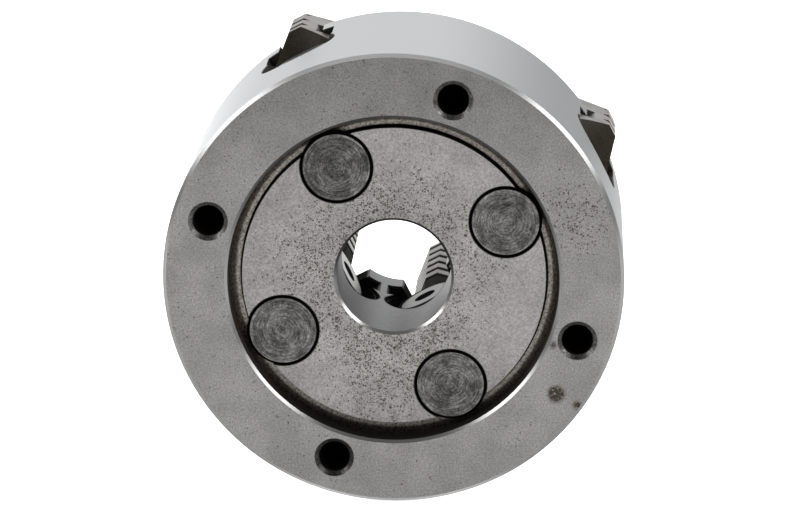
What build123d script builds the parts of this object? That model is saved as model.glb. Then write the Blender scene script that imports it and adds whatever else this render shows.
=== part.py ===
from build123d import *
import math
import os

# Four-jaw independent lathe chuck with a plain back, 100 mm class. All sizes in millimetres.
# The chuck is drawn lying on its back face: Z is the depth from the back face towards the jaws,
# and each slot unit (slot, screw, bearing, jaw) is drawn along +X. The last step turns the axis
# onto +Y, with the back face at Y = 0 and the jaws pointing to +Y.

# body
body_r = 50.0
body_depth = 50.0
rim_chamfer = 0.8
face_chamfer = 1.0
register_r = 36.0
register_chamfer = 0.6
pad_r = 33.05
pad_depth = 3.95
groove_depth = 5.9
groove_fillet = 1.95
bore_r = 12.5
bore_chamfer = 0.6
ring_radii = (22.0, 32.0, 42.0)
ring_depth = 0.3

# mounting holes
bolt_circle_r = 42.0
bolt_hole_r = 3.4
bolt_hole_depth = 18.0
bolt_hole_tip = 2.0
countersink_r = 4.35

# slot units: four at right angles, the first one clocked from +X
unit_count = 4
clocking = 27.15
screw_depth = 30.4
screw_bore_r = 8.15
screw_mouth = 1.9
slot_half_width = 8.3
slot_bottom = 35.2
slot_top = 43.0
neck_half_width = 5.6

# jaw screw: left-hand trapezoidal thread on both sides of a plain neck
screw_start = 12.6
screw_end = 48.0
screw_major_r = 7.8
screw_minor_r = 6.4
thread_pitch = 3.0
thread_start = 7.2
crest_half = 0.45
root_half = 0.95
end_chamfer = 0.5
neck_r = 5.0
neck_length = 8.0
socket_side = 7.0
socket_depth = 10.0
centre_hole_r = 2.5
centre_hole_depth = 6.0

# thrust bearing: a round plug from the back with a forked saddle round the screw neck
bearing_radius = 27.2
bearing_hole_r = 7.9
bearing_play = 0.02
bearing_chamfer = 0.55
tongue_play = 0.1
saddle_play = 0.05

# jaw: nose radius of each jaw from the chuck axis, then the shape of one jaw
jaw_nose_radii = (14.7, 14.0, 13.6, 14.0)
nose_radius = 14.0
jaw_length = 38.6
jaw_half_width = 8.15
jaw_base = 35.4
flange_top = 42.85
web_half_width = 4.1
jaw_seat = 50.15
step_tops = (83.5, 71.5, 59.5)
step_ends = (12.8, 25.7, 38.6)
nose_flat_half = 1.5
nose_slope = 42.0
top_chamfer = 0.6
tooth_pitch = 5.7
first_tooth = 80.6
tooth_depth = 1.0
tooth_half = 1.25
vertex_tooth_depth = 1.3
nut_minor_r = 6.65
nut_major_r = 8.0
nut_flank_play = 0.14
lead_in_r = 12.2
lead_in_slope = 0.54


def screw_axis_cylinder(radius, start, end):
    """Cylinder on the screw axis between two distances from the chuck axis."""
    cylinder = Cylinder(radius, end - start, align=(Align.CENTER, Align.CENTER, Align.MIN))
    return Pos(start, 0, screw_depth) * Rot(0, 90, 0) * cylinder


def screw_axis_cone(start_r, end_r, start, end):
    """Cone on the screw axis between two distances from the chuck axis."""
    cone = Cone(start_r, end_r, end - start, align=(Align.CENTER, Align.CENTER, Align.MIN))
    return Pos(start, 0, screw_depth) * Rot(0, 90, 0) * cone


def thread_ridge(root_r, crest_r, root_width, crest_width, start, turns):
    """Left-hand helical ridge on the screw axis, one trapezoid swept along a helix."""
    helix = Helix(pitch=thread_pitch, height=turns * thread_pitch, radius=root_r, lefthand=True)
    with BuildSketch(Plane.XZ) as section:
        with BuildLine():
            Polyline(
                (root_r - 0.2, -root_width),
                (crest_r, -crest_width),
                (crest_r, crest_width),
                (root_r - 0.2, root_width),
                close=True,
            )
        make_face()
    ridge = sweep(section.sketch, path=helix, is_frenet=True)
    return Pos(start, 0, screw_depth) * Rot(0, 90, 0) * ridge


def make_body():
    with BuildPart() as blank:
        with BuildSketch(Plane.XZ):
            with BuildLine():
                Polyline(
                    (register_r, groove_depth - groove_fillet),
                    (register_r, register_chamfer),
                    (register_r + register_chamfer, 0),
                    (body_r - rim_chamfer, 0),
                    (body_r, rim_chamfer),
                    (body_r, body_depth - face_chamfer),
                    (body_r - face_chamfer, body_depth),
                    (bore_r + bore_chamfer, body_depth),
                    (bore_r, body_depth - bore_chamfer),
                    (bore_r, pad_depth + bore_chamfer),
                    (bore_r + bore_chamfer, pad_depth),
                    (pad_r, pad_depth),
                    (pad_r, groove_depth),
                    (register_r - groove_fillet, groove_depth),
                )
                TangentArc(
                    (register_r - groove_fillet, groove_depth),
                    (register_r, groove_depth - groove_fillet),
                    tangent=(1, 0),
                )
            make_face()
        revolve(axis=Axis.Z)
    body = blank.part

    for radius in ring_radii:
        ring = Cone(radius + ring_depth, radius, ring_depth) - Cone(radius - ring_depth, radius, ring_depth)
        body -= Pos(0, 0, body_depth - ring_depth / 2) * Rot(180, 0, 0) * ring

    for unit in range(unit_count):
        body -= Rot(0, 0, unit_angle(unit)) * slot_cutter()
        body -= Rot(0, 0, unit_angle(unit) + 45) * bolt_hole()
    return body


def unit_angle(unit):
    return -(clocking + unit * 360 / unit_count)


def slot_cutter():
    """Keyhole slot for one jaw: T-slot, screw bore and the hole for the thrust bearing."""
    reach = body_r + 5
    flange = Box(reach, 2 * slot_half_width, slot_top - slot_bottom, align=(Align.MIN, Align.CENTER, Align.MIN))
    neck = Box(reach, 2 * neck_half_width, body_depth, align=(Align.MIN, Align.CENTER, Align.MIN))
    cutter = Pos(0, 0, slot_bottom) * flange
    cutter += Pos(0, 0, slot_top - 1) * neck
    cutter += screw_axis_cylinder(screw_bore_r, 0, reach)
    mouth_r = screw_bore_r + screw_mouth
    cutter += screw_axis_cone(screw_bore_r, mouth_r + 1, body_r - screw_mouth, body_r + 1)
    hole = Cylinder(bearing_hole_r, screw_depth, align=(Align.CENTER, Align.CENTER, Align.MIN))
    cutter += Pos(bearing_radius, 0, 0) * hole
    return cutter


def bolt_hole():
    """Tapped hole for a mounting bolt, with a countersunk mouth and a drill point."""
    up = (Align.CENTER, Align.CENTER, Align.MIN)
    sink_depth = countersink_r - bolt_hole_r
    hole = Cylinder(bolt_hole_r, bolt_hole_depth, align=up)
    hole += Cone(countersink_r, bolt_hole_r, sink_depth, align=up)
    hole += Pos(0, 0, bolt_hole_depth) * Cone(bolt_hole_r, 0, bolt_hole_tip, align=up)
    return Pos(bolt_circle_r, 0, 0) * hole


def make_bearing():
    up = (Align.CENTER, Align.CENTER, Align.MIN)
    radius = bearing_hole_r - bearing_play
    plug = Cylinder(radius, screw_depth - pad_depth, align=up)
    plug = chamfer(plug.faces().sort_by(Axis.Z)[0].edges(), bearing_chamfer)
    plug = Pos(bearing_radius, 0, pad_depth) * plug
    tongue_half = neck_length / 2 - tongue_play
    inner = bearing_radius - tongue_half
    outer = bearing_radius + tongue_half
    plug -= screw_axis_cylinder(screw_bore_r, bearing_radius - 2 * radius, inner)
    plug -= screw_axis_cylinder(screw_bore_r, outer, bearing_radius + 2 * radius)
    plug -= screw_axis_cylinder(neck_r + saddle_play, bearing_radius - radius, bearing_radius + radius)
    return plug


def make_screw():
    turns = math.ceil((screw_end - thread_start) / thread_pitch) + 2
    ridge = thread_ridge(screw_minor_r, screw_major_r, root_half, crest_half, thread_start, turns)
    threaded = screw_axis_cylinder(screw_minor_r, thread_start - 3, screw_end + 12) + ridge
    neck_from = bearing_radius - neck_length / 2
    neck_to = bearing_radius + neck_length / 2
    screw = screw_axis_cylinder(neck_r, neck_from - 1, neck_to + 1)
    for low, high in ((screw_start, neck_from), (neck_to, screw_end)):
        envelope = screw_axis_cylinder(screw_major_r + end_chamfer, low, high)
        envelope = chamfer(envelope.edges().filter_by(GeomType.CIRCLE), 2 * end_chamfer)
        screw += threaded & envelope
    socket = Box(socket_depth, socket_side, socket_side, align=(Align.MAX, Align.CENTER, Align.CENTER))
    screw -= Pos(screw_end, 0, screw_depth) * socket
    screw -= screw_axis_cylinder(centre_hole_r, screw_start, screw_start + centre_hole_depth)
    return screw


def jaw_plan(inner, outer, half_width):
    """Plan outline with a blunt V at both ends, cut to a half width."""
    run = half_width - nose_flat_half
    rise = run * math.tan(math.radians(nose_slope))
    with BuildSketch() as plan:
        with BuildLine():
            Polyline(
                (inner, -nose_flat_half),
                (inner, nose_flat_half),
                (inner + rise, half_width),
                (outer - rise, half_width),
                (outer, nose_flat_half),
                (outer, -nose_flat_half),
                (outer - rise, -half_width),
                (inner + rise, -half_width),
                close=True,
            )
        make_face()
    return plan.sketch


def jaw_slab(inner, outer, half_width, bottom, top):
    return Pos(0, 0, bottom) * extrude(jaw_plan(inner, outer, half_width), top - bottom)


def nose_notch(face_x, depth_z):
    """V notch that follows the blunt V of the nose."""
    run = jaw_half_width + 1 - nose_flat_half
    slope = math.tan(math.radians(nose_slope))
    corners = (
        (face_x - 0.4, depth_z - tooth_half * 1.5),
        (face_x + tooth_depth, depth_z),
        (face_x - 0.4, depth_z + tooth_half * 1.5),
    )
    flat = Plane((0, nose_flat_half, 0), x_dir=(1, 0, 0), z_dir=(0, -1, 0))
    with BuildSketch(flat) as section:
        with BuildLine():
            Polyline(*corners, close=True)
        make_face()
    facet_dir = Vector(slope, 1, 0).normalized()
    length = run * math.hypot(1, slope)
    notch = extrude(section.sketch, 2 * nose_flat_half, dir=(0, -1, 0))
    facet = extrude(section.sketch, length, dir=facet_dir)
    return notch + facet + mirror(facet, about=Plane.XZ)


def vertex_notch(face_x, depth_z):
    """Straight V notch across the vertex of an outer end."""
    section = Polyline(
        (face_x + 0.5, 0, depth_z - tooth_half * 1.5),
        (face_x - vertex_tooth_depth, 0, depth_z),
        (face_x + 0.5, 0, depth_z + tooth_half * 1.5),
        close=True,
    )
    return extrude(make_face(section), jaw_half_width, dir=(0, 1, 0), both=True)


def tooth_depths(bottom, top):
    """Depths of the teeth that lie whole between two depths, on one pitch for the whole jaw."""
    count = int((first_tooth - bottom) / tooth_pitch) + 1
    depths = [first_tooth - index * tooth_pitch for index in range(count)]
    return [depth_z for depth_z in depths if bottom + tooth_half < depth_z < top - tooth_half]


def make_jaw():
    """One stepped reversible jaw, drawn with its nose at the nominal radius."""
    inner = nose_radius
    outer = nose_radius + jaw_length
    jaw = jaw_slab(inner, outer, jaw_half_width, jaw_base, flange_top)
    jaw += jaw_slab(inner, outer, jaw_half_width, flange_top, jaw_seat)
    floor = jaw_seat
    for top, length in zip(reversed(step_tops), reversed(step_ends)):
        step = jaw_slab(inner, inner + length, jaw_half_width, floor, top)
        step = chamfer(step.faces().sort_by(Axis.Z)[-1].edges(), top_chamfer)
        jaw += step
        floor = top - top_chamfer - 0.2

    channel = Box(
        3 * jaw_length,
        jaw_half_width,
        jaw_seat - flange_top,
        align=(Align.CENTER, Align.MIN, Align.MIN),
    )
    channel = Pos(inner, web_half_width, flange_top) * channel
    jaw -= channel
    jaw -= mirror(channel, about=Plane.XZ)

    for depth_z in tooth_depths(jaw_seat, step_tops[0]):
        jaw -= nose_notch(inner, depth_z)
    floors = (step_tops[1], step_tops[2], flange_top)
    for top, bottom, length in zip(step_tops, floors, step_ends):
        for depth_z in tooth_depths(bottom, top):
            jaw -= vertex_notch(inner + length, depth_z)

    turns = math.ceil(jaw_length / thread_pitch) + 6
    jaw -= thread_ridge(
        nut_minor_r,
        nut_major_r,
        root_half + nut_flank_play - 0.04,
        crest_half + nut_flank_play,
        thread_start,
        turns,
    )
    jaw -= screw_axis_cylinder(nut_minor_r, inner - 5, outer + 5)
    flare = (lead_in_r - nut_minor_r + 0.4) / lead_in_slope
    jaw -= screw_axis_cone(nut_minor_r - 0.4, lead_in_r + lead_in_slope, outer - flare, outer + 1)
    jaw -= screw_axis_cone(lead_in_r + lead_in_slope, nut_minor_r - 0.4, inner - 1, inner + flare)
    return jaw


def onto_spindle_axis(shape):
    """Turn the chuck axis from +Z onto +Y."""
    return Rot(-90, 0, 0) * shape


def save(shape, name):
    shape = onto_spindle_axis(shape)
    shape.label = name
    export_step(shape, f"parts/{name}.step")


os.makedirs("parts", exist_ok=True)
save(make_body(), "chuck_body")
bearing = make_bearing()
screw = make_screw()
jaw = make_jaw()
for unit, nose in enumerate(jaw_nose_radii):
    turn = Rot(0, 0, unit_angle(unit))
    shift = nose - nose_radius
    spin = Pos(0, 0, screw_depth) * Rot(360 * shift / thread_pitch, 0, 0) * Pos(0, 0, -screw_depth)
    save(turn * bearing, f"thrust_bearing_{unit + 1}")
    save(turn * spin * screw, f"jaw_screw_{unit + 1}")
    save(turn * Pos(shift, 0, 0) * jaw, f"jaw_{unit + 1}")
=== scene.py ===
import bpy
import math
from mathutils import Matrix, Vector

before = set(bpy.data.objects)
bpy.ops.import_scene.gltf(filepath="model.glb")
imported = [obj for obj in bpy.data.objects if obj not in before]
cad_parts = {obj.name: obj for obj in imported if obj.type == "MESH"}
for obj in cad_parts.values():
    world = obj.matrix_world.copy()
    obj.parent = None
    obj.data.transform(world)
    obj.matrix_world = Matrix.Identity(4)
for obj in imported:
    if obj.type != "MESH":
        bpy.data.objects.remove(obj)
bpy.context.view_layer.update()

MM = 0.001

# Sizes in millimetres, as in the CAD. The chuck axis is Y, and the back face is at Y = 0.
UNITS = 4
CLOCKING = 27.15
BODY_RADIUS = 50.0
BODY_DEPTH = 50.0
RIM_CHAMFER = 0.8
REGISTER_RADIUS = 36.0
PAD_RADIUS = 33.05
PAD_DEPTH = 3.95
BORE_RADIUS = 12.5
BOLT_CIRCLE_RADIUS = 42.0
BOLT_HOLE_RADIUS = 3.4
COUNTERSINK_RADIUS = 4.35
BEARING_CIRCLE_RADIUS = 27.2
BEARING_HOLE_RADIUS = 7.9
SCREW_DEPTH = 30.4
SCREW_BORE_RADIUS = 8.15
SCREW_END = 48.0
NUT_RADIUS = 8.0
JAW_NOSES = (14.7, 14.0, 13.6, 14.0)
JAW_LENGTH = 38.6
JAW_HALF_WIDTH = 8.15
NOSE_FLAT_HALF = 1.5
NOSE_SLOPE = math.tan(math.radians(42.0))
LEAD_IN_RADIUS = 12.2
LEAD_IN_SLOPE = 0.54

# One row for each step of a jaw: length from the nose, then where it starts and ends along Y.
JAW_STEPS = ((12.8, 71.5, 83.5), (25.7, 59.5, 71.5), (38.6, 43.0, 59.5))

# One row for each patch of pits on the back: X, Z, reach, added density.
PORE_PATCHES = (
    (38.5, 14.5, 12.0, 0.5),
    (-2.0, -24.0, 15.0, 0.4),
    (-22.0, 4.0, 13.0, 0.2),
    (-8.0, 40.0, 12.0, 0.06),
    (26.0, -31.0, 9.0, 0.1),
)

# One row for each layer of pits: cells per millimetre, offset, share of the density.
PORE_LAYERS = ((1.35, 0.0, 0.32), (2.1, 40.0, 0.75), (3.1, 80.0, 1.0))

# One row for each stain on the back: X, Z, reach, strength.
STAINS = ((35.5, -24.9, 2.6, 1.0), (40.1, -27.4, 1.5, 0.5), (34.7, -13.9, 1.5, 0.4))

# Painted shadow: black for the narrow gaps round the pad and round the thrust bearings.
GAP_SHADOW_BLACK = (0.006, 0.005, 0.005, 1.0)
# Painted shade: near-black inside the drilled mounting holes.
HOLE_SHADE_BLACK = (0.008, 0.007, 0.006, 1.0)
# Painted shadow round the screw holes in the bore.
SCREW_GAP_SHADOW = (0.012, 0.011, 0.010, 1.0)
PIT_BROWN = (0.07, 0.063, 0.055, 1.0)
STAIN_BROWN = (0.045, 0.038, 0.03, 1.0)
# Oil and painted shade: near-black for the walls deep inside the slots.
SLOT_OIL_AND_SHADE = (0.028, 0.026, 0.023, 1.0)
# Oil and painted shade for the screw threads and the hollow centre of each screw.
THREAD_OIL_AND_SHADE = (0.03, 0.027, 0.024, 1.0)
# Oil and painted shade for the half-nut trough under each jaw.
TROUGH_OIL_AND_SHADE = (0.028, 0.023, 0.017, 1.0)
# Oil and painted shade for the jaw's groove bottoms and for the part of the jaw inside the slot.
JAW_OIL_AND_SHADE = (0.02, 0.018, 0.015, 1.0)
RECESS_FLOOR = (0.36, 0.335, 0.30, 1.0)
# Painted shade for the outer wall of the recess.
RECESS_WALL_SHADE = (0.085, 0.074, 0.062, 1.0)
SIDE_STEEL = (0.49, 0.50, 0.51, 1.0)
WHITE = (1.0, 1.0, 1.0, 1.0)


class Look:
    """Small builder for one procedural material, with lengths in millimetres of the row frame."""

    def __init__(self, name):
        self.mat = bpy.data.materials.new(name)
        self.mat.use_nodes = True
        self.tree = self.mat.node_tree
        self.bsdf = self.tree.nodes["Principled BSDF"]
        self.bsdf.inputs["Specular IOR Level"].default_value = 0.1
        coord = self.node("ShaderNodeTexCoord")
        scale = self.node("ShaderNodeVectorMath", operation="SCALE")
        self.link(coord.outputs["Object"], scale.inputs[0])
        scale.inputs["Scale"].default_value = 1 / MM
        self.pos = scale.outputs[0]
        split = self.node("ShaderNodeSeparateXYZ")
        self.link(self.pos, split.inputs[0])
        self.x, self.y, self.z = split.outputs[0], split.outputs[1], split.outputs[2]

    def node(self, kind, **props):
        made = self.tree.nodes.new(kind)
        for key, value in props.items():
            setattr(made, key, value)
        return made

    def link(self, source, target):
        """Feeds a socket from a socket, a number or a colour."""
        if isinstance(source, (int, float)):
            target.default_value = source
        elif isinstance(source, tuple):
            target.default_value = source[:len(target.default_value)]
        else:
            self.tree.links.new(source, target)

    def join(self, x, y, z):
        made = self.node("ShaderNodeCombineXYZ")
        self.link(x, made.inputs[0])
        self.link(y, made.inputs[1])
        self.link(z, made.inputs[2])
        return made.outputs[0]

    def math(self, operation, a, b=0.0):
        made = self.node("ShaderNodeMath", operation=operation)
        self.link(a, made.inputs[0])
        self.link(b, made.inputs[1])
        return made.outputs[0]

    def plus(self, a, b):
        return self.math("ADD", a, b)

    def minus(self, a, b):
        return self.math("SUBTRACT", a, b)

    def times(self, first, *others):
        for other in others:
            first = self.math("MULTIPLY", first, other)
        return first

    def most(self, first, *others):
        for other in others:
            first = self.math("MAXIMUM", first, other)
        return first

    def absolute(self, a):
        return self.math("ABSOLUTE", a)

    def length(self, a, b):
        return self.math("SQRT", self.plus(self.times(a, a), self.times(b, b)))

    def ramp(self, value, low, high, start=0.0, end=1.0):
        """Smooth step of value from start at low to end at high."""
        made = self.node("ShaderNodeMapRange", interpolation_type="SMOOTHSTEP", clamp=True)
        self.link(value, made.inputs["Value"])
        made.inputs["From Min"].default_value = low
        made.inputs["From Max"].default_value = high
        made.inputs["To Min"].default_value = start
        made.inputs["To Max"].default_value = end
        return made.outputs["Result"]

    def fade(self, value, low, high):
        """1 below low, fading to 0 at high."""
        return self.ramp(value, low, high, 1.0, 0.0)

    def band(self, value, low, high, soft=0.1):
        """1 between low and high, with soft edges."""
        start = self.ramp(value, low - soft, low + soft)
        return self.times(start, self.fade(value, high - soft, high + soft))

    def noise(self, scale, detail=2.0, roughness=0.5, vector=None):
        made = self.node("ShaderNodeTexNoise")
        self.link(vector or self.pos, made.inputs["Vector"])
        made.inputs["Scale"].default_value = scale
        made.inputs["Detail"].default_value = detail
        made.inputs["Roughness"].default_value = roughness
        return made.outputs["Fac"]

    def mix(self, factor, a, b):
        """Mixes two colours."""
        made = self.node("ShaderNodeMix", data_type="RGBA")
        self.link(factor, made.inputs["Factor"])
        self.link(a, made.inputs[6])
        self.link(b, made.inputs[7])
        return made.outputs[2]

    def blend(self, factor, a, b):
        """Mixes two values."""
        made = self.node("ShaderNodeMix", data_type="FLOAT")
        self.link(factor, made.inputs["Factor"])
        self.link(a, made.inputs[2])
        self.link(b, made.inputs[3])
        return made.outputs[0]

    def shade(self, colour, factor):
        """Multiplies a colour by a value."""
        made = self.node("ShaderNodeVectorMath", operation="SCALE")
        self.link(colour, made.inputs[0])
        self.link(factor, made.inputs["Scale"])
        return made.outputs[0]

    def finish(self, colour, roughness, height=None, strength=0.5, distance=0.05, metallic=1.0):
        """Connects the shader; distance is the depth of the bump in millimetres."""
        self.link(colour, self.bsdf.inputs["Base Color"])
        self.link(roughness, self.bsdf.inputs["Roughness"])
        self.link(metallic, self.bsdf.inputs["Metallic"])
        if height is not None:
            bump = self.node("ShaderNodeBump")
            bump.inputs["Strength"].default_value = strength
            bump.inputs["Distance"].default_value = distance * MM
            self.link(height, bump.inputs["Height"])
            self.link(bump.outputs[0], self.bsdf.inputs["Normal"])
        return self.mat


def grey(value, warm=0.0):
    return (value * (1 + warm), value, value * (1 - warm), 1.0)


def axes_at(look, angle):
    """Distances along and across a direction square to the chuck axis, at an angle from +X."""
    c, s = math.cos(math.radians(angle)), math.sin(math.radians(angle))
    along = look.plus(look.times(look.x, c), look.times(look.z, s))
    across = look.minus(look.times(look.z, c), look.times(look.x, s))
    return along, across


def unit_axes(look, unit):
    """Distance from the chuck axis along a slot unit, and distance across it."""
    return axes_at(look, CLOCKING + unit * 360 / UNITS)


def nearest_axis(look, angle, reach):
    """Distances along and across from the nearest of four places on a circle.

    The first place is at an angle from +X, and reach is the radius of the circle.
    """
    along, across = axes_at(look, angle)
    along, across = look.absolute(along), look.absolute(across)
    return look.minus(look.most(along, across), reach), look.math("MINIMUM", along, across)


def hole_distance(look):
    """Distance from the nearest mounting-hole axis."""
    return look.length(*nearest_axis(look, CLOCKING + 45, BOLT_CIRCLE_RADIUS))


def bearing_distance(look):
    """Distance from the nearest thrust-bearing axis."""
    return look.length(*nearest_axis(look, CLOCKING, BEARING_CIRCLE_RADIUS))


def screw_distance(look):
    """Distance from the nearest screw axis."""
    across = nearest_axis(look, CLOCKING, 0.0)[1]
    return look.length(across, look.minus(look.y, SCREW_DEPTH))


def spot(look, x, z, reach):
    """1 at a place on the back, fading to 0 at a distance."""
    return look.fade(look.length(look.minus(look.x, x), look.minus(look.z, z)), 0.0, reach)


def pore_mask(look, radius):
    """Small dark pits, thick round the bore and in a few patches."""
    density = look.times(
        look.ramp(radius, BORE_RADIUS, 29.0, 0.68, 0.08),
        look.ramp(look.x, 4.0, 18.0, 1.0, 0.6),
    )
    for x, z, reach, amount in PORE_PATCHES:
        density = look.plus(density, look.times(spot(look, x, z, reach), amount))
    clumps = look.noise(scale=0.3, detail=3.0, roughness=0.6)
    density = look.times(density, look.ramp(clumps, 0.35, 0.65, 0.5, 1.4))
    pits = 0.0
    for cells, offset, share in PORE_LAYERS:
        cell = look.node("ShaderNodeTexVoronoi", feature="F1")
        place = look.join(look.plus(look.x, offset), look.times(look.y, 0.2), look.z)
        look.link(place, cell.inputs["Vector"])
        cell.inputs["Scale"].default_value = cells
        pick = look.node("ShaderNodeSeparateColor")
        look.link(cell.outputs["Color"], pick.inputs[0])
        size = look.plus(look.times(pick.outputs[1], 0.3), 0.24)
        inside = look.fade(look.math("DIVIDE", cell.outputs["Distance"], size), 0.6, 1.3)
        chosen = look.ramp(look.minus(look.times(density, share), pick.outputs[0]), 0.0, 0.08)
        pits = look.most(pits, look.times(inside, chosen))
    return pits


def stain_mask(look):
    """A few small blotches on the back."""
    stain = 0.0
    for x, z, reach, strength in STAINS:
        stain = look.most(stain, look.times(spot(look, x, z, reach), strength))
    blotches = look.noise(scale=1.3, detail=5.0, roughness=0.85)
    return look.times(stain, look.ramp(blotches, 0.4, 0.5, 0.0, 2.6))


def body_zones(look, radius):
    """Masks of the surfaces of the body, each 1 on its surface and 0 elsewhere."""
    past_rim = look.ramp(look.y, RIM_CHAMFER - 0.05, RIM_CHAMFER + 0.05)
    before_rim = look.fade(look.y, RIM_CHAMFER - 0.05, RIM_CHAMFER + 0.05)
    hole = hole_distance(look)
    inside = look.times(
        look.ramp(radius, BORE_RADIUS + 0.5, BORE_RADIUS + 0.8),
        look.fade(radius, BODY_RADIUS - 0.4, BODY_RADIUS - 0.1),
        look.ramp(look.y, 18.5, 20.0),
        look.fade(look.y, BODY_DEPTH - 0.7, BODY_DEPTH - 0.2),
    )
    return {
        "ring": look.times(
            look.fade(look.y, 0.02, 0.1),
            look.ramp(radius, REGISTER_RADIUS + 0.5, REGISTER_RADIUS + 0.65),
        ),
        "pad": look.times(
            look.band(look.y, PAD_DEPTH - 0.15, PAD_DEPTH + 0.1, 0.05),
            look.fade(radius, PAD_RADIUS - 0.05, PAD_RADIUS),
        ),
        "recess": look.times(
            look.band(look.y, 0.62, 7.0, 0.04),
            look.band(radius, PAD_RADIUS - 0.03, REGISTER_RADIUS + 0.5, 0.02),
        ),
        "outside": look.times(look.ramp(radius, BODY_RADIUS - 0.1, BODY_RADIUS - 0.05), past_rim),
        "edge": look.times(
            look.ramp(radius, BODY_RADIUS - 0.9, BODY_RADIUS - 0.75),
            before_rim,
            look.ramp(look.y, 0.01, 0.05),
        ),
        "lip": look.times(
            look.band(radius, REGISTER_RADIUS - 0.05, REGISTER_RADIUS + 0.58, 0.03),
            look.fade(look.y, 0.62, 0.68),
        ),
        "bore": look.times(
            look.ramp(look.y, PAD_DEPTH + 0.55, PAD_DEPTH + 0.65),
            look.fade(radius, BORE_RADIUS + 0.3, BORE_RADIUS + 0.6),
        ),
        "bore_lip": look.times(
            look.band(look.y, PAD_DEPTH + 0.03, PAD_DEPTH + 0.65, 0.03),
            look.fade(radius, BORE_RADIUS + 0.6, BORE_RADIUS + 0.7),
        ),
        "front": look.times(
            look.ramp(look.y, BODY_DEPTH - 1.1, BODY_DEPTH - 0.9),
            look.ramp(radius, BORE_RADIUS + 0.4, BORE_RADIUS + 0.6),
        ),
        "inside": inside,
        "drilled": look.times(
            look.fade(hole, BOLT_HOLE_RADIUS + 0.1, BOLT_HOLE_RADIUS + 0.2),
            look.band(look.y, 0.9, 25.0, 0.1),
        ),
        "sink": look.times(
            look.fade(hole, COUNTERSINK_RADIUS - 0.01, COUNTERSINK_RADIUS + 0.05),
            look.band(look.y, 0.025, 1.5, 0.025),
        ),
    }


def recess_colour(look, radius, specks_darker_low):
    """Light floor, outer wall darkened with painted shade, and a painted black shadow line where
    the floor meets the pad.
    """
    colour = look.mix(
        look.ramp(radius, PAD_RADIUS + 1.05, PAD_RADIUS + 1.75),
        look.shade(RECESS_FLOOR, specks_darker_low),
        look.shade(RECESS_WALL_SHADE, specks_darker_low),
    )
    return look.mix(look.fade(radius, PAD_RADIUS + 0.4, PAD_RADIUS + 0.6), colour, GAP_SHADOW_BLACK)


def bore_colour(look):
    """Grey wall with fine marks round the axis, with painted shade at both sides."""
    stretched = look.join(look.times(look.x, 0.5), look.times(look.y, 3.0), look.times(look.z, 0.5))
    streaks = look.noise(scale=1.0, detail=4.0, roughness=0.65, vector=stretched)
    tone = look.times(
        look.ramp(streaks, 0.3, 0.7, 0.75, 1.2),
        look.ramp(look.absolute(look.x), 6.5, 12.0, 1.0, 0.4),
    )
    return look.shade(grey(0.19, -0.01), tone)


def edge_colour_top_highlight(look):
    """Rim chamfer, with a painted highlight at the top and painted shade at the sides and bottom.
    """
    tone = look.times(
        look.ramp(look.absolute(look.x), 12.0, 30.0, 1.0, 0.42),
        look.ramp(look.z, -35.0, 20.0, 0.6, 1.0),
    )
    return look.shade(grey(0.56), tone)


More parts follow.
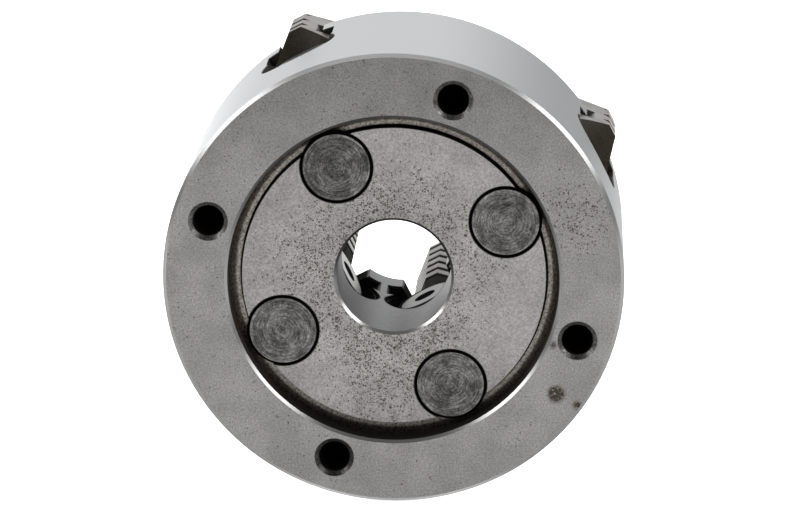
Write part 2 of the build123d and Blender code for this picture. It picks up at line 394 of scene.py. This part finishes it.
def body_look():
    look = Look("ground_steel_body")
    radius = look.length(look.x, look.z)
    zone = body_zones(look, radius)
    flat = look.plus(zone["ring"], zone["pad"])
    # Painted shadow: a dark line on the bore wall round each screw hole.
    screw_gap_shadow = look.times(
        zone["bore"],
        look.fade(screw_distance(look), SCREW_BORE_RADIUS + 0.2, SCREW_BORE_RADIUS + 0.45),
    )
    # Painted shadow: a black ring on the pad round each thrust bearing.
    bearing_gap_shadow = look.times(
        look.fade(bearing_distance(look), BEARING_HOLE_RADIUS + 0.05, BEARING_HOLE_RADIUS + 0.3),
        zone["pad"],
    )

    grain = look.noise(scale=2.4, detail=5.0, roughness=0.7)
    fine = look.noise(scale=5.5, detail=2.0, roughness=0.6)
    mottle = look.noise(scale=0.11, detail=4.0, roughness=0.6)
    tone = look.times(
        look.ramp(grain, 0.34, 0.66, 0.72, 1.28),
        look.ramp(fine, 0.3, 0.7, 0.85, 1.15),
        look.ramp(mottle, 0.3, 0.7, 0.88, 1.1),
    )
    turned_place = look.join(0.0, look.times(look.y, 5.0), 0.0)
    turned = look.noise(scale=1.0, detail=3.0, roughness=0.6, vector=turned_place)
    specks = look.noise(scale=2.0, detail=5.0, roughness=0.75)
    # Random specks, made darker towards the bottom: half as bright below Z = -36 mm.
    specks_darker_low = look.times(
        look.ramp(specks, 0.36, 0.64, 0.45, 1.45),
        look.ramp(look.z, -36.0, -12.0, 0.5, 1.0),
    )
    pits = pore_mask(look, radius)

    # Painted shade: the ring face darkens towards the top, to 0.78 of its tone at Z = 48 mm.
    face_tone_top_shade = look.times(tone, look.ramp(look.z, 15.0, 48.0, 1.0, 0.78))
    face = look.shade(grey(0.225, 0.025), face_tone_top_shade)
    side = look.shade(SIDE_STEEL, look.ramp(turned, 0.3, 0.7, 0.9, 1.06))
    # Painted shade: the outside darkens towards +X, to 0.42 at X = 44 mm.
    side = look.shade(side, look.ramp(look.x, 6.0, 44.0, 1.0, 0.42))
    # Painted shade: the register lip darkens towards the top, to 0.4 at Z = 25 mm.
    lip = look.shade(grey(0.24), look.ramp(look.z, 0.0, 25.0, 1.0, 0.4))
    # Painted highlight and shade: the bore lip is lighter at the bottom and darker towards the top.
    bore_lip = look.shade(grey(0.34), look.ramp(look.z, -6.0, 4.0, 1.0, 0.25))

    # Off the ring face everything starts dark grey, as oil and painted shade on the slot and hole
    # walls; the masks below repaint the other surfaces.
    colour = look.mix(zone["ring"], look.shade(grey(0.10, 0.06), specks_darker_low), face)
    for mask, painted in (
        (zone["pad"], look.shade(grey(0.272, 0.03), tone)),
        (look.times(pits, flat), PIT_BROWN),
        (look.times(stain_mask(look), zone["ring"]), STAIN_BROWN),
        (zone["recess"], recess_colour(look, radius, specks_darker_low)),
        (zone["outside"], side),
        (zone["edge"], edge_colour_top_highlight(look)),
        (zone["lip"], lip),
        (zone["bore"], bore_colour(look)),
        (screw_gap_shadow, SCREW_GAP_SHADOW),
        (zone["bore_lip"], bore_lip),
        (zone["front"], look.shade(grey(0.42, 0.01), tone)),
        # Oil and painted shade inside the slots.
        (zone["inside"], look.shade(SLOT_OIL_AND_SHADE, specks_darker_low)),
        (bearing_gap_shadow, GAP_SHADOW_BLACK),
        (zone["sink"], look.shade(grey(0.10, 0.03), specks_darker_low)),
        # Painted shade: the drilled holes are near-black inside.
        (zone["drilled"], HOLE_SHADE_BLACK),
    ):
        colour = look.mix(mask, colour, painted)

    bright = look.most(zone["edge"], zone["lip"], zone["bore_lip"])
    dull = look.most(screw_gap_shadow, zone["drilled"], zone["inside"])
    roughness = look.blend(flat, 0.4, look.ramp(grain, 0.3, 0.7, 0.5, 0.62))
    for mask, finish in (
        (zone["recess"], 0.6),
        (zone["outside"], look.ramp(look.x, 6.0, 44.0, 0.32, 0.48)),
        (bright, 0.3),
        (zone["bore"], look.ramp(look.x, -12.0, -2.0, 0.48, 0.36)),
        (dull, 0.9),
    ):
        roughness = look.blend(mask, roughness, finish)

    height = look.minus(grain, look.times(pits, 2.0))
    height = look.blend(zone["outside"], height, turned)
    height = look.blend(look.most(bright, zone["bore"]), height, 0.5)
    return look.finish(colour, roughness, height, 0.4, 0.03, look.minus(1.0, dull))


def bearing_look(unit):
    look = Look(f"turned_steel_bearing_{unit + 1}")
    angle = math.radians(CLOCKING + unit * 360 / UNITS)
    across = look.minus(look.x, BEARING_CIRCLE_RADIUS * math.cos(angle))
    along = look.minus(look.z, BEARING_CIRCLE_RADIUS * math.sin(angle))
    radius = look.length(across, along)
    turn = look.math("ARCTAN2", along, across)
    ring_place = look.join(look.times(radius, 2.6), 3.7 * unit, 0.0)
    arc_place = look.join(look.times(radius, 3.0), look.times(turn, 1.6), 9.1 * unit)
    patch_place = look.join(look.x, 5.3 * unit, look.z)
    rings = look.noise(scale=1.0, detail=4.0, roughness=0.7, vector=ring_place)
    arcs = look.noise(scale=1.0, detail=4.0, roughness=0.75, vector=arc_place)
    patch = look.noise(scale=0.28, detail=3.0, roughness=0.65, vector=patch_place)
    grain = look.noise(scale=2.2, detail=5.0, roughness=0.7)
    # The last factor is a painted highlight: the face is lighter in a band just inside its rim.
    tone = look.times(
        look.ramp(rings, 0.35, 0.65, 0.75, 1.25),
        look.ramp(arcs, 0.34, 0.66, 0.5, 1.5),
        look.ramp(grain, 0.35, 0.65, 0.62, 1.38),
        look.ramp(patch, 0.36, 0.62, 0.6, 1.3),
        look.ramp(radius, 6.4, 7.1, 1.0, 1.25),
    )
    # Painted shadow: the outer edge of each bearing face is black, as the gap round it.
    rim = look.ramp(radius, 7.2, 7.32)
    colour = look.mix(rim, look.shade(grey(0.094, 0.02), tone), GAP_SHADOW_BLACK)
    height = look.plus(rings, look.plus(look.times(grain, 0.5), arcs))
    return look.finish(colour, look.blend(rim, 0.48, 0.8), height, 0.5, 0.05)


def teeth_mask(look, out, side, nose):
    """The bottoms of the grooves at the nose and at the outer end of each step, which the jaw
    paints dark for oil and painted shade in the creases.
    """
    fall = look.times(look.most(look.minus(side, NOSE_FLAT_HALF), 0.0), NOSE_SLOPE)
    behind = look.minus(look.minus(out, nose), fall)
    teeth = look.times(look.band(behind, 0.12, 1.1), look.band(look.y, 50.6, 82.6, 0.2))
    near_vertex = look.fade(side, 2.2, 3.2)
    for length, bottom, top in JAW_STEPS:
        behind = look.minus(look.minus(nose + length, out), fall)
        depth = look.band(look.y, bottom, top - 0.9, 0.2)
        teeth = look.most(teeth, look.times(look.band(behind, 0.12, 1.3), depth, near_vertex))
    return look.times(teeth, look.fade(side, JAW_HALF_WIDTH - 0.2, JAW_HALF_WIDTH - 0.05))


def trough_mask(look, out, across, nose):
    """The half nut and the flared lead-ins at both ends of it, which the jaw paints dark for oil
    and painted shade.
    """
    from_end = look.math("MINIMUM", look.minus(out, nose), look.minus(nose + JAW_LENGTH, out))
    lead_in = look.minus(LEAD_IN_RADIUS, look.times(from_end, LEAD_IN_SLOPE))
    reach = look.most(lead_in, NUT_RADIUS + 0.15)
    radius = look.length(across, look.minus(look.y, SCREW_DEPTH))
    return look.fade(look.minus(radius, reach), 0.1, 0.2)


def jaw_look(unit):
    look = Look(f"ground_steel_jaw_{unit + 1}")
    out, across = unit_axes(look, unit)
    nose = JAW_NOSES[unit]
    teeth = teeth_mask(look, out, look.absolute(across), nose)
    oil_and_shade = trough_mask(look, out, across, nose)
    in_slot = look.times(look.fade(look.y, 51.0, 52.0), look.fade(out, nose + 22.0, nose + 30.0))

    grain = look.noise(scale=1.6, detail=5.0, roughness=0.7)
    stain = look.noise(scale=0.18, detail=3.0, roughness=0.6)
    ground_place = look.join(look.times(look.y, 4.0), 0.0, look.times(out, 0.2))
    ground = look.noise(scale=1.0, detail=3.0, roughness=0.6, vector=ground_place)
    tone = look.times(
        look.ramp(grain, 0.25, 0.75, 0.76, 1.2),
        look.ramp(ground, 0.3, 0.7, 0.86, 1.1),
    )
    clean = look.mix(look.ramp(stain, 0.35, 0.65), grey(0.30, 0.04), grey(0.21, 0.07))
    colour = look.shade(clean, tone)
    # Oil and painted shade: the part of the jaw inside the slot is near-black.
    colour = look.mix(in_slot, colour, look.shade(JAW_OIL_AND_SHADE, tone))
    # Oil and painted shade in the bottoms of the tooth grooves.
    colour = look.mix(teeth, colour, JAW_OIL_AND_SHADE)
    # Oil and painted shade in the half-nut trough.
    colour = look.mix(oil_and_shade, colour, look.shade(TROUGH_OIL_AND_SHADE, tone))

    dull = look.most(teeth, in_slot)
    roughness = look.blend(oil_and_shade, look.ramp(grain, 0.3, 0.7, 0.36, 0.5), 0.42)
    roughness = look.blend(dull, roughness, 0.8)
    matt = look.most(dull, look.times(oil_and_shade, 0.7))
    return look.finish(colour, roughness, grain, 0.3, 0.03, look.minus(1.0, matt))


def screw_look(unit):
    look = Look(f"turned_steel_screw_{unit + 1}")
    out, across = unit_axes(look, unit)
    radius = look.length(across, look.minus(look.y, SCREW_DEPTH))
    centre_hole = look.times(look.fade(radius, 2.4, 2.6), look.fade(out, 25.0, 26.0))
    inner_thread = look.times(look.ramp(radius, 5.7, 5.9), look.fade(out, 20.0, 22.0))
    before_end = look.fade(out, SCREW_END - 0.4, SCREW_END - 0.1)
    outer_thread = look.times(look.ramp(radius, 6.3, 6.8), before_end)
    # Painted shade inside the hollow centre, and oil and painted shade on the threads.
    oil_and_shade = look.most(centre_hole, inner_thread, outer_thread)

    ring_place = look.join(look.times(radius, 2.5), look.times(out, 1.5), 0.0)
    rings = look.noise(scale=1.0, detail=3.0, roughness=0.6, vector=ring_place)
    grain = look.noise(scale=1.8, detail=4.0, roughness=0.7)
    tone = look.times(look.ramp(rings, 0.3, 0.7, 0.85, 1.1), look.ramp(grain, 0.3, 0.7, 0.9, 1.08))
    colour = look.mix(oil_and_shade, look.shade(grey(0.27, 0.01), tone), THREAD_OIL_AND_SHADE)
    roughness = look.blend(oil_and_shade, 0.34, 0.8)
    return look.finish(colour, roughness, rings, 0.3, 0.03, look.minus(1.0, oil_and_shade))


def dress(name, material):
    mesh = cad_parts[name].data
    mesh.materials.clear()
    mesh.materials.append(material)


def make_floor():
    """Pale floor just under the lowest point of the body."""
    half = 6.0
    height = -0.0502
    corners = [(x * half, y * half, height) for x, y in ((-1, -1), (1, -1), (1, 1), (-1, 1))]
    mesh = bpy.data.meshes.new("floor")
    mesh.from_pydata(corners, [], [(0, 1, 2, 3)])
    floor = bpy.data.objects.new("floor", mesh)
    bpy.context.scene.collection.objects.link(floor)
    look = Look("pale_floor")
    tone = look.ramp(look.noise(scale=0.01, detail=3.0), 0.3, 0.7, 0.98, 1.0)
    colour = look.shade(grey(0.93), tone)
    look.bsdf.inputs["Emission Color"].default_value = WHITE
    look.bsdf.inputs["Emission Strength"].default_value = 0.8
    mesh.materials.append(look.finish(colour, 0.8, metallic=0.0))


def area_light(name, place, target, width, height, power):
    data = bpy.data.lights.new(name, "AREA")
    data.shape = "RECTANGLE"
    data.size = width
    data.size_y = height
    data.energy = power
    lamp = bpy.data.objects.new(name, data)
    lamp.location = place
    lamp.rotation_mode = "QUATERNION"
    lamp.rotation_quaternion = (Vector(target) - Vector(place)).to_track_quat("-Z", "Y")
    bpy.context.scene.collection.objects.link(lamp)


def make_lights():
    """One softbox above and behind, and one at each side to light the chamfers."""
    area_light("top_softbox", (0.0, 0.25, 0.9), (0, 0.03, 0), 0.9, 0.6, 3.0)
    for name, x in (("left_softbox", -0.82), ("right_softbox", 0.82)):
        area_light(name, (x, -0.17, 0.55), (0, 0.02, 0), 0.42, 0.46, 4.5)


def make_world():
    """Plain studio, dimmer on the spindle side than on the jaw side."""
    world = bpy.data.worlds.new("studio")
    bpy.context.scene.world = world
    world.use_nodes = True
    tree = world.node_tree
    background = tree.nodes["Background"]
    coord = tree.nodes.new("ShaderNodeTexCoord")
    split = tree.nodes.new("ShaderNodeSeparateXYZ")
    tree.links.new(coord.outputs["Generated"], split.inputs[0])
    depth = tree.nodes.new("ShaderNodeMapRange")
    depth.interpolation_type = "SMOOTHSTEP"
    depth.inputs["From Min"].default_value = -0.25
    depth.inputs["From Max"].default_value = 0.8
    depth.inputs["To Min"].default_value = 0.28
    depth.inputs["To Max"].default_value = 1.0
    tree.links.new(split.outputs[1], depth.inputs["Value"])
    background.inputs["Color"].default_value = WHITE
    tree.links.new(depth.outputs["Result"], background.inputs["Strength"])


def make_camera():
    data = bpy.data.cameras.new("camera")
    data.sensor_width = 36.0
    data.lens = 176.53
    data.clip_start = 0.05
    data.clip_end = 50.0
    camera = bpy.data.objects.new("camera", data)
    right = Vector((0.9990098, 0.0444914, 0.0))
    up = Vector((-0.0110945, 0.2491151, 0.9684103))
    turn = Matrix((right, up, right.cross(up))).transposed().to_4x4()
    camera.matrix_world = Matrix.Translation((0.0377131, -0.8173877, 0.2140826)) @ turn
    bpy.context.scene.collection.objects.link(camera)
    bpy.context.scene.camera = camera


dress("chuck_body", body_look())
for unit in range(UNITS):
    dress(f"thrust_bearing_{unit + 1}", bearing_look(unit))
    dress(f"jaw_screw_{unit + 1}", screw_look(unit))
    dress(f"jaw_{unit + 1}", jaw_look(unit))

bpy.context.scene.view_settings.view_transform = "Standard"
make_floor()
make_world()
make_lights()
make_camera()
